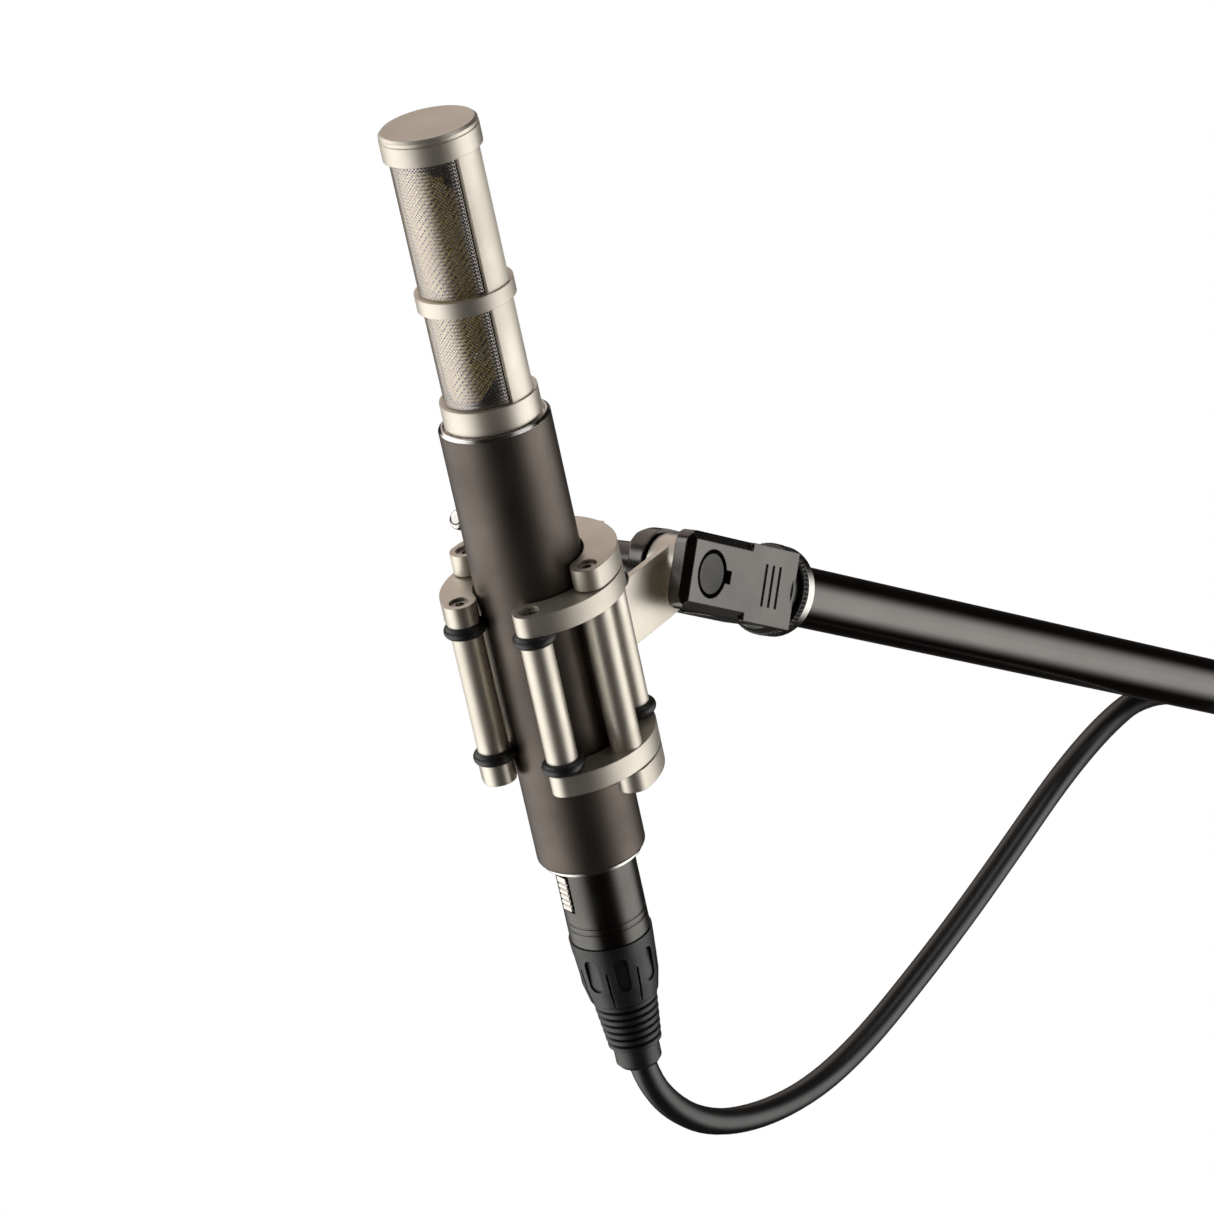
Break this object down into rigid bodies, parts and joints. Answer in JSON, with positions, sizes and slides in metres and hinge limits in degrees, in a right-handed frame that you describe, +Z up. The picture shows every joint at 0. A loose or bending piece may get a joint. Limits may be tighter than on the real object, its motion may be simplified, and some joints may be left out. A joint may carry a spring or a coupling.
{
  "type": "ribbon microphone",
  "caption": "Slim ribbon microphone with a two-window mesh head, held by an elastic post cradle on a swivel adapter at the end of a boom section, with its plugged cable.",
  "frame": {"origin": "centre of the boom tube's rear end, where a stand's boom holds it", "axes": "+Z up, +X along the tilt pivot, +Y back along the boom, away from the microphone"},
  "size_m": [0.087, 0.4263, 0.2286],
  "materials": {
    "champagne_metal": "satin champagne plating",
    "silver_mesh": "fine woven wire, satin nickel",
    "gold_mesh": "woven wire, gold tone",
    "black_metal": "matte black",
    "steel": "plain",
    "ribbon_leaf": "thin corrugated leaf",
    "brass": "turned",
    "bright_nickel": "polished nickel",
    "barrel_paint": "satin dark grey",
    "black_plastic": "moulded",
    "contact_gold": "gold plated",
    "winding": "enamelled copper wire",
    "board": "glass-fibre board",
    "black_rubber": "matte",
    "plug_black": "satin black",
    "boom_paint": "semi-matte black powder coat",
    "cable_jacket": "smooth PVC jacket",
    "hook_and_loop": "woven"
  },
  "bodies": {
    "root": {"boom_stud": "steel", "boom_tube": "boom_paint", "cable": "cable_jacket", "cable_coil": "cable_jacket", "cable_strap": "hook_and_loop", "cable_tail": "cable_jacket", "coil_tie": "hook_and_loop", "far_plug_boot": "black_rubber", "far_plug_insert": "black_plastic", "far_plug_pins": "contact_gold", "far_plug_shell": "plug_black", "pivot_bolt": "black_metal", "pivot_washers": "black_plastic", "plug_strap": "hook_and_loop", "reducer_bushing": "bright_nickel", "swivel_clevis": "black_plastic", "threaded_insert": "black_metal"},
    "cradle": {"cage_lower_ring": "champagne_metal", "cage_upper_ring": "champagne_metal", "mount_screws": "steel", "o_rings_lower": "black_rubber", "o_rings_upper": "black_rubber", "post_front_left": "champagne_metal", "post_front_right": "champagne_metal", "post_rear_left": "champagne_metal", "post_rear_right": "champagne_metal", "post_side_left": "champagne_metal", "post_side_right": "champagne_metal", "yoke": "champagne_metal"},
    "microphone": {"barrel": "barrel_paint", "barrel_top_ring": "bright_nickel", "cap_lid": "champagne_metal", "circuit_board": "board", "connector_sleeve": "bright_nickel", "head_frame": "champagne_metal", "inner_screen_front": "gold_mesh", "inner_screen_rear": "gold_mesh", "magnets": "black_metal", "mesh_front_lower": "silver_mesh", "mesh_front_upper": "silver_mesh", "mesh_rear_lower": "silver_mesh", "mesh_rear_upper": "silver_mesh", "mic_insert": "black_plastic", "mic_pins": "contact_gold", "motor_base": "steel", "motor_frame": "black_metal", "pole_pieces": "steel", "ribbon_clamps": "brass", "ribbons": "ribbon_leaf", "transformer_core": "steel", "transformer_winding": "winding", "plug_shell": "plug_black", "plug_insert": "black_plastic", "plug_contacts": "contact_gold", "plug_chuck": "steel", "plug_bushing": "black_rubber", "plug_boot": "black_rubber"},
    "lever": {"lock_lever": "black_plastic", "lever_tip": "bright_nickel"},
    "latch": {"plug_latch": "bright_nickel"}
  },
  "joints": [
    {"name": "tilt_hinge", "type": "hinge", "parent": "root", "child": "cradle", "pos_m": [0, -0.3387, 0.08822], "axis": [1, 0, 0], "range_deg": [-45, 35], "deforming": ["cable"]},
    {"name": "mic_turn", "type": "hinge", "parent": "cradle", "child": "microphone", "pos_m": [0, -0.38309, 0.08349], "axis": [0, -0.3247, 0.9458], "range_deg": [-90, 90]},
    {"name": "lever_turn", "type": "hinge", "parent": "root", "child": "lever", "pos_m": [0, -0.3387, 0.08822], "axis": [1, 0, 0], "range_deg": [-20, 60]},
    {"name": "latch_press", "type": "slide", "parent": "microphone", "child": "latch", "axis": [0.2924, 0.9045, 0.3106], "range_m": [0, 0.0008], "stiffness_N_per_m": 1500}
  ]
}
